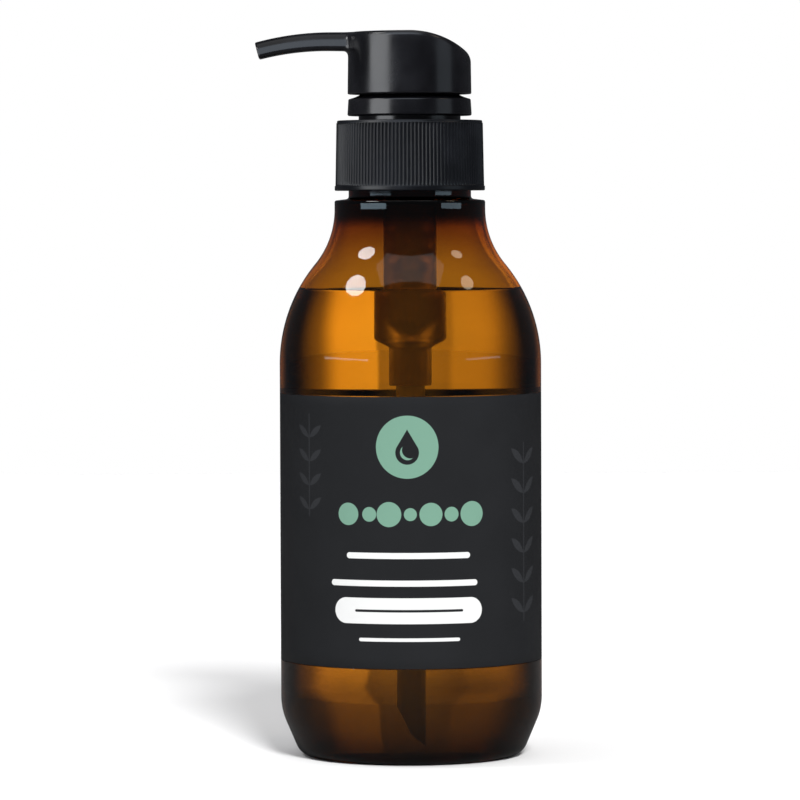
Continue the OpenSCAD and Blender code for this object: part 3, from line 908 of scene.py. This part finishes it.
@dataclass
class Label:
    """The wrap label: a thin film round the body whose ends leave a bare strip at the back."""

    outer_r: float
    low: float
    high: float
    thickness: float = 0.12
    seam: float = 2.0
    soft: float = 0.03
    columns: int = 256
    rows: int = 24

    def build(self) -> bpy.types.Object:
        """Makes the film as a closed strip: its section is a thin loop, carried round from one end to
        the other. Its map holds the distance round and the height, as shares of what it spans."""
        half = math.pi - self.seam / 2 / self.outer_r
        angle = np.linspace(-half, half, self.columns)
        inner_r, soft = self.outer_r - self.thickness, self.soft
        rows = np.linspace(self.low + soft, self.high - soft, self.rows)
        out = np.stack([np.full(self.rows, self.outer_r), rows], axis=1)
        back = np.stack([np.full(self.rows, inner_r), rows[::-1]], axis=1)
        above, below = [[self.outer_r - soft, self.high]], [[self.outer_r - soft, self.low]]
        loop = np.concatenate([out, above, back, below])
        r, z = loop[:, :1], np.repeat(loop[:, 1:], self.columns, axis=1)
        points = np.stack([r * np.sin(angle), -r * np.cos(angle), z], axis=-1).reshape(-1, 3)
        count = len(loop)
        row, column = np.arange(count)[:, None], np.arange(self.columns - 1)[None]
        here, above = row * self.columns + column, (row + 1) % count * self.columns + column
        quads = np.stack([here, here + 1, above + 1, above], axis=-1).reshape(-1, 4)
        rung = np.arange(count // 2 - 1)
        far = count - 2 - rung
        ends = [np.stack([rung, rung + 1, far - 1, far], axis=1) * self.columns,
                np.stack([far, far - 1, rung + 1, rung], axis=1) * self.columns + self.columns - 1]
        made = piece("label_film", points, np.concatenate([quads, *ends]))
        mesh = made.data
        corner = np.empty(len(mesh.loops), np.int32)
        mesh.loops.foreach_get("vertex_index", corner)
        around = np.tile(angle * self.outer_r, count)
        spots = np.stack([around / MAP_ACROSS + 0.5, points[:, 2] / MAP_UP], axis=1)[corner]
        mesh.uv_layers.new(name="label").data.foreach_set("uv", spots.astype(np.float32).ravel())
        FILM.dress(made)
        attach(made, Body.BOTTLE.value)
        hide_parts("label")
        return made


# ---------------------------------------------------------------- closure and collar


@dataclass
class Closure:
    """The screw closure: a foot band, a drafted wall of fine ribs and a plain top edge."""

    foot_z: float
    top_z: float
    foot_r: float = 17.8
    rib_low_r: float = 17.62
    rib_high_r: float = 17.34
    plain_r: float = 17.2
    bore_r: float = 15.8
    hole_r: float = 12.3
    top_t: float = 1.35
    band_h: float = 1.15
    plain_h: float = 0.6
    ribs: int = 120
    rib_t: float = 0.3
    per_rib: int = 10

    def ribbing(self, r: Array, z: Array, angle: Array) -> Array:
        """The wall's radius: the crest's, less the depth times a narrow rounded groove that repeats."""
        low, high = self.foot_z + self.band_h, self.top_z - self.plain_h
        on_wall = (r > self.plain_r + 0.05) & (z > low + 0.02) & (z < high)
        wave = 0.5 + 0.5 * np.cos(angle * self.ribs)
        fade = np.clip((z - low) / 0.35, 0, 1) * np.clip((high - z) / 0.35, 0, 1)
        return np.where(on_wall, r - self.rib_t * fade * wave**1.6, r)

    def build(self) -> bpy.types.Object:
        """Makes the closure as one closed loop, turned round the axis."""
        low, high = self.foot_z + self.band_h, self.top_z - self.plain_h
        foot = outline([[self.bore_r, self.foot_z], [self.foot_r, self.foot_z, 0.3],
                        [self.foot_r, low - 0.05, 0.3], [self.rib_low_r, low]])
        rows = np.concatenate([
            np.linspace(low + 0.03, low + 0.4, 4),
            np.linspace(low + 1.5, high - 1.5, 8),
            np.linspace(high - 0.4, high - 0.03, 4),
        ])
        radii = np.interp(rows, [low, high], [self.rib_low_r, self.rib_high_r])
        top = outline([[self.plain_r, high], [self.plain_r, self.top_z, 0.45],
                       [self.hole_r, self.top_z, 0.2], [self.hole_r, self.top_z - self.top_t],
                       [self.bore_r, self.top_z - self.top_t, 0.3], [self.bore_r, self.foot_z + 0.3]])
        line = np.concatenate([foot, np.stack([radii, rows], axis=1), top])
        made = turned("closure_cap", line, self.ribs * self.per_rib, self.ribbing)
        SATIN.dress(made)
        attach(made, Body.CLOSURE.value)
        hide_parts("closure")
        return made


@dataclass
class LockCollar:
    """The collar that is snapped into the pump: ring, turret, lug groove and stem guide."""

    foot_z: float
    top_z: float
    ring_r: float
    ring_z: float = 151.6
    ring_h: float = 3.9
    seat_z: float = 149.1
    neck_r: float = 12.06
    skirt_r: float = 10.18
    skirt_in: float = 8.9
    turret_r: float = 11.6
    mouth_r: float = 8.3
    ledge_r: float = 7.25
    groove_r: float = 8.05
    groove_z: float = 151.5
    groove_h: float = 1.8
    lock_h: float = 3.5
    guide_in: float = 3.6
    guide_out: float = 5.65
    web_t: float = 1.4
    slot_half: float = math.radians(14)

    def slots(self, r: Array, z: Array, angle: Array) -> Array:
        """The bore's radius with the two slots, which cut the ledge back to the groove's radius."""
        low = self.groove_z + self.groove_h
        ledge = (np.abs(r - self.ledge_r) < 0.01) & (z > low - 0.1) & (z < low + self.lock_h + 0.1)
        off = np.abs((angle + math.pi / 2) % math.pi - math.pi / 2)
        return np.where(ledge & (off < self.slot_half), self.groove_r, r)

    def build(self) -> bpy.types.Object:
        """Makes the collar as one closed loop, turned round the axis."""
        ring_top = self.ring_z + self.ring_h
        ledge_low = self.groove_z + self.groove_h
        ledge_top = ledge_low + self.lock_h
        web_z = self.seat_z - self.web_t
        corners = [
            [self.skirt_in, self.foot_z + 0.3], [self.skirt_r, self.foot_z + 0.3, 0.2],
            [self.skirt_r, self.seat_z], [self.neck_r, self.seat_z, 0.1],
            [self.neck_r, self.ring_z, 0.15],
            [self.ring_r, self.ring_z, 0.4], [self.ring_r - 0.24, ring_top, 0.35],
            [self.turret_r + 1.3, ring_top + 0.5, 0.4], [self.turret_r + 0.2, ring_top + 1, 0.3],
            [self.turret_r, self.top_z, 0.5], [self.mouth_r, self.top_z, 0.3],
            [self.mouth_r, ledge_top, 0.1], [self.ledge_r, ledge_top, 0.15],
            [self.ledge_r, ledge_low, 0.15], [self.groove_r, ledge_low], [self.groove_r, self.groove_z],
            [self.guide_in, self.groove_z, 0.2], [self.guide_in, self.foot_z],
            [self.guide_out, self.foot_z], [self.guide_out, web_z, 0.3], [self.skirt_in, web_z, 0.3],
            [self.skirt_in, self.foot_z + 0.6],
        ]
        made = turned("collar_ring", outline(corners), 2 * COLUMNS, self.slots)
        GLOSS.dress(made)
        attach(made, Body.PUMP.value)
        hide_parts("lock_collar")
        return made


# ---------------------------------------------------------------- head


@dataclass
class Head:
    """The pump's head: a hollow dome whose top runs out over the spout, with a soft blend between."""

    skirt_z: float
    top_z: float
    tip_x: float
    skirt_r: float = 14.65
    draft: float = 0.2
    wall: float = 1.3
    back_r: float = 21.5
    rim: float = 1.1
    spout_rim: float = 2.2
    foot_rim: float = 0.22
    under_rim: float = 1.3
    end_rim: float = 0.3
    hollow_rim: float = 0.6
    boss_rim: float = 0.5
    boss_t: float = 1.0
    boss_r: float = 6.0
    boss_z: float = 165.7
    nipple_r: float = 3.92
    nipple_top: float = 168.2
    spout_h: float = 4.5
    root_w: float = 3.25
    tip_w: float = 2.95
    flank: float = 0.34
    root_h: float = 4.65
    tip_h: float = 4.15
    bend_x: float = 18.7
    droop: float = math.radians(15.2)
    channel_r: float = 1.3
    blend: float = 1.5
    cell: float = 0.3
    bend_r: float = field(init=False)

    def __post_init__(self) -> None:
        """Works out the radius of the spout's bend from its reach and droop."""
        run = -self.tip_x - self.bend_x - self.spout_h / 2 * math.sin(self.droop)
        self.bend_r = run / math.sin(self.droop)

    def along(self, p: Array) -> tuple[Array, Array]:
        """Distance along the spout's line, and height over that line.

        The line is straight as far as the bend, and then an arc about a point below it: along it the
        distance grows by the arc's radius times the angle, and the height is the distance from the
        arc's middle less its radius.
        """
        x, z = p[:, 0], p[:, 2] - (self.top_z - self.spout_h / 2)
        dx, dz = -x - self.bend_x, z + self.bend_r
        bent = dx > 0
        s = np.where(bent, self.bend_x + self.bend_r * np.arctan2(dx, dz), -x)
        n = np.where(bent, np.hypot(dx, dz) - self.bend_r, z)
        return s, n

    def top(self, p: Array, n: Array) -> Array:
        """Height over the top, which is level over the spout and falls in an arc at the back."""
        back = np.hypot(p[:, 0], p[:, 2] - (self.top_z - self.back_r)) - self.back_r
        return np.where(p[:, 0] > 0, back, n - self.spout_h / 2)

    def distance(self, p: Array) -> Array:
        """Signed distance of points from the head's plastic, negative inside it."""
        x, y, z = p.T
        r = np.hypot(x, y)
        s, n = self.along(p)
        top = self.top(p, n)
        side = r - (self.skirt_r - self.draft * (z - self.skirt_z) / (self.top_z - self.skirt_z))
        dome = round_max(round_max(side, self.skirt_z - z, self.foot_rim), top, self.rim)
        share = np.clip(s / (self.bend_x + self.bend_r * self.droop), 0, 1)
        width = self.root_w + (self.tip_w - self.root_w) * share
        depth = self.root_h + (self.tip_h - self.root_h) * share
        flank = (np.abs(y) - width + self.flank * n) / math.hypot(1, self.flank)
        spout = round_max(flank, self.spout_h / 2 - depth - n, self.under_rim)
        end = s - (self.bend_x + self.bend_r * self.droop)
        spout = round_max(round_max(spout, top, self.spout_rim), end, self.end_rim)
        outer = np.maximum(soft_min(dome, np.maximum(spout, -s), self.blend), top)
        hollow = round_max(side + self.wall, top + self.wall, self.hollow_rim)
        hollow = round_max(hollow, self.boss_r - r, self.boss_rim)
        hollow = np.minimum(hollow, np.maximum(r - self.nipple_r, z - self.nipple_top))
        below = np.maximum(r - self.boss_r - self.boss_t, z - self.boss_z)
        hollow = np.minimum(hollow, below)
        channel = np.maximum(np.hypot(y, n) - self.channel_r, -s)
        return np.maximum(outer, -np.minimum(hollow, channel))

    def build(self) -> bpy.types.Object:
        """Makes the head's surface, with its normals taken from the gradient."""
        low = np.array([self.tip_x - 1, -self.skirt_r - 1, self.skirt_z - 1])
        high = np.array([self.skirt_r + 1, self.skirt_r + 1, self.top_z + 1])
        points, quads = net(self.distance, low, high, self.cell)
        made = piece("head_dome", points, quads)
        normals = slope(self.distance, points, 0.03)
        normals /= np.maximum(np.linalg.norm(normals, axis=1, keepdims=True), 1e-9)
        made.data.normals_split_custom_set_from_vertices(normals.tolist())
        GLOSS.dress(made)
        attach(made, Body.HEAD.value)
        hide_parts("actuator")
        return made


class PumpWorks:
    """The works inside, whose frame nodes stay and get a finish."""

    FINISHES = {
        "housing": CLOUDY, "gasket": SEAL, "wiper_seal": SEAL, "lock_sleeve": MILKY, "stem": MILKY,
        "piston": MILKY, "valve_plug": MILKY, "ball_retainer": MILKY, "dip_tube": TUBE,
        "spring": STEEL, "inlet_ball": STEEL,
    }

    def dress(self) -> None:
        """Gives each node its finish."""
        for node, finish in self.FINISHES.items():
            finish.dress(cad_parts[node])


# ---------------------------------------------------------------- studio


@dataclass
class Lamp:
    """A soft flat lamp that is aimed at the bottle, at an azimuth to the camera's right.

    One with "only" set is linked to some pieces and lights no others.
    """

    name: str
    azimuth: float
    height: float
    distance: float
    width: float
    tall: float
    watts: float
    colour: Colour = (1.0, 1.0, 1.0)
    only: bool = False
    shape: str = "RECTANGLE"

    def build(self, aim: Vector, lit: bpy.types.Collection) -> None:
        """Makes the lamp.

        Args:
            aim: the point that it faces.
            lit: the only pieces that it lights, if it is such a lamp.
        """
        data = bpy.data.lights.new(self.name, "AREA")
        data.shape, data.size, data.size_y = self.shape, self.width, self.tall
        data.energy, data.color = self.watts, self.colour
        obj = bpy.data.objects.new(self.name, data)
        turn = math.radians(self.azimuth)
        flat = Vector((math.sin(turn), -math.cos(turn), 0)) * self.distance
        obj.location = flat + Vector((0, 0, self.height))
        obj.rotation_euler = (aim - obj.location).to_track_quat("-Z", "Y").to_euler()
        obj.visible_camera = obj.visible_transmission = False
        if self.only:
            obj.light_linking.receiver_collection = lit
        bpy.context.scene.collection.objects.link(obj)


@dataclass
class Studio:
    """A plain pale floor, soft lamps, and the camera."""

    eye: tuple[float, float, float] = (-0.0025, -1.150, 0.131)
    tilt: float = 2.327
    roll: float = 0.2
    lens: float = 218.25
    floor_size: float = 2.4
    key_azimuth: float = 13.0
    key_elevation: float = 36.0
    key_energy: float = 3.7
    key_spread: float = 13.0
    bounces: int = 26

    def camera(self) -> None:
        """Stands the camera at eye height, a little left of the bottle, looking slightly down."""
        data = bpy.data.cameras.new("camera")
        data.lens, data.sensor_width = self.lens, 36.0
        data.clip_start, data.clip_end = 0.05, 50.0
        obj = bpy.data.objects.new("camera", data)
        obj.location = self.eye
        turn = Euler((math.radians(90 - self.tilt), 0, 0)).to_matrix()
        obj.rotation_euler = (turn @ Euler((0, 0, math.radians(-self.roll))).to_matrix()).to_euler()
        bpy.context.scene.collection.objects.link(obj)
        bpy.context.scene.camera = obj

    def floor(self) -> None:
        """Lays the floor: a flat sheet, pale and matt. Its colour holds painted shade, dark grey where
        glossy things mirror it, and painted light where clear things show it: the backdrop's grey room
        with black corners and white cards, dimmer towards the front.
        """
        half = self.floor_size / MM / 2
        corners = np.array([[-half, -half, 0], [half, -half, 0], [half, half, 0], [-half, half, 0]])
        made = piece("floor", corners, np.array([[0, 1, 2, 3]]))
        material = bpy.data.materials.new("floor_paint")
        material.use_nodes = True
        nodes = Nodes(material.node_tree)
        shade = nodes.mix(nodes.noise(60.0), (0.86, 0.86, 0.86), (0.89, 0.89, 0.89))
        ray = nodes.add("ShaderNodeLightPath").socket.node
        mirrored, through = (
            Signal(nodes, ray.outputs[name]) for name in ("Is Glossy Ray", "Is Transmission Ray")
        )
        # painted shade: the floor is dark grey in reflections
        shade = nodes.mix(mirrored, shade, (0.09, 0.09, 0.09))
        x, y, _ = nodes.axes(nodes.place())
        # painted light: through clear things the floor shows the backdrop's white cards and black
        # corners
        behind = self.backdrop(nodes, x, y, y.ramp(0.0, 0.6, 0.7, 1.0))
        shade = nodes.mix(through, shade, behind)
        paint = nodes.add("ShaderNodeBsdfPrincipled", None, {"Base Color": shade, "Roughness": 0.9})
        nodes.add("ShaderNodeOutputMaterial", None, {"Surface": paint})
        made.data.materials.append(material)

    def backdrop(self, nodes: Nodes, x: Signal, y: Signal, share: Signal | float) -> Signal:
        """What clear things show in a direction: a grey room, black towards the corners, with a white
        card and a lesser one behind. It holds no colour, so all colour comes from the pieces.

        Args:
            nodes: the tree.
            x: the direction's part to the right.
            y: its part to the back.
            share: how much of the brightness is left.

        Returns:
            A grey.
        """
        flat = (x * x + y * y).maths("SQRT").at_least(0.001)
        side, behind = x / flat, (y / flat).ramp(0.0, 0.2)
        window = side.ramp(0.12, 0.14) * side.ramp(0.44, 0.30) * behind
        lesser = side.ramp(-0.14, -0.18) * side.ramp(-0.50, -0.34) * behind
        corner = abs(side).at_most(abs(y) / flat)
        bright = (window * 0.62 + lesser * 0.20 + 0.38) * corner.ramp(0.62, 0.26) * share
        return nodes.mix(bright, (0.0, 0.0, 0.0), (1.0, 1.0, 1.0))

    def world(self) -> None:
        """Surrounds the set with a pale room. What is seen through clear things is dim, with black
        corners and a white card behind, and what glossy things mirror is a dark room."""
        world = bpy.data.worlds.new("studio")
        world.use_nodes = True
        bpy.context.scene.world = world
        nodes = Nodes(world.node_tree)
        ray = nodes.add("ShaderNodeLightPath").socket.node
        seen, mirrored, through = (
            Signal(nodes, ray.outputs[name])
            for name in ("Is Camera Ray", "Is Glossy Ray", "Is Transmission Ray")
        )
        x, y, _ = nodes.axes(nodes.add("ShaderNodeTexCoord", output="Generated"))
        level = nodes.mix(mirrored, (0.54, 0.54, 0.55), (0.05, 0.052, 0.058))
        level = nodes.mix(through, level, self.backdrop(nodes, x, y, 1.0))
        level = nodes.mix(seen, level, (1.0, 1.0, 1.0))
        sky = nodes.add("ShaderNodeBackground", None, {"Color": level, "Strength": 1.0})
        nodes.add("ShaderNodeOutputWorld", None, {"Surface": sky})

    def build(self, black: Sequence[bpy.types.Object]) -> None:
        """Makes the floor, world and lamps, and sets plain tones.

        Args:
            black: the pieces that the linked lamps light.
        """
        lit = bpy.data.collections.new("black_pieces")
        for obj in black:
            lit.objects.link(obj)
        self.floor()
        self.world()
        aim = Vector((0, 0, 0.09))
        for lamp in (
            Lamp("left_box", -58, 0.24, 0.62, 0.46, 0.44, 2.6, (0.95, 0.97, 1.0), only=True),
            Lamp("right_box", 68, 0.24, 0.62, 0.36, 0.44, 0.26, (0.80, 0.90, 1.0), only=True),
            Lamp("left_strip", -58, 0.129, 0.62, 0.50, 0.012, 0.05, (0.62, 0.84, 1.0)),
            Lamp("right_strip", 66, 0.129, 0.62, 0.40, 0.012, 0.025, (0.62, 0.84, 1.0)),
            Lamp("front_high", -12, 0.62, 0.60, 0.90, 0.60, 3.6, (0.78, 0.88, 1.0), only=True),
            Lamp("left_high", -76, 0.55, 0.40, 0.22, 0.14, 0.8, shape="ELLIPSE"),
            Lamp("right_high", 82, 0.55, 0.40, 0.14, 0.09, 0.13, (1.0, 0.84, 0.62), shape="ELLIPSE"),
            Lamp("top_box", 0, 1.0, 0.05, 0.80, 0.80, 1.0),
        ):
            lamp.build(aim, lit)
        sun = bpy.data.lights.new("key", "SUN")
        sun.energy, sun.angle = self.key_energy, math.radians(self.key_spread)
        key = bpy.data.objects.new("key", sun)
        turn, lift = math.radians(self.key_azimuth), math.radians(self.key_elevation)
        towards = Vector((math.sin(turn), -math.cos(turn), math.tan(lift)))
        key.rotation_euler = (-towards).to_track_quat("-Z", "Y").to_euler()
        key.visible_glossy = key.visible_transmission = False
        bpy.context.scene.collection.objects.link(key)
        tracing = bpy.context.scene.cycles
        tracing.transmission_bounces, tracing.max_bounces = self.bounces, self.bounces + 4
        view = bpy.context.scene.view_settings
        view.view_transform = "Standard"
        view.look = "None"


def main() -> None:
    """Builds the studio and then the object's pieces, in order."""
    logging.basicConfig(level=logging.INFO, format="%(name)s: %(message)s")
    studio = Studio()
    studio.camera()
    bottle_low, bottle_high = node_box("bottle")
    label_low, label_high = node_box("label")
    closure_low, closure_high = node_box("closure")
    collar_low, collar_high = node_box("lock_collar")
    head_low, head_high = node_box("actuator")
    bottle = Bottle(bottle_high[0], bottle_high[2], label_low[2] - 0.1, label_high[2] + 0.1)
    parts = (
        bottle,
        Filling(bottle, node_box("shampoo")[1][2]),
        Label(label_high[0], label_low[2], label_high[2]),
        Closure(closure_low[2], closure_high[2]),
        LockCollar(collar_low[2], collar_high[2], collar_high[0]),
        Head(head_low[2], head_high[2], head_low[0]),
    )
    built = [part.build() for part in parts]
    for made in built:
        log.info("%s: %d faces", made.name, len(made.data.polygons))
    PumpWorks().dress()
    log.info("pump works: %d nodes dressed", len(PumpWorks.FINISHES))
    studio.build(built[3:])


if __name__ == "__main__":
    main()
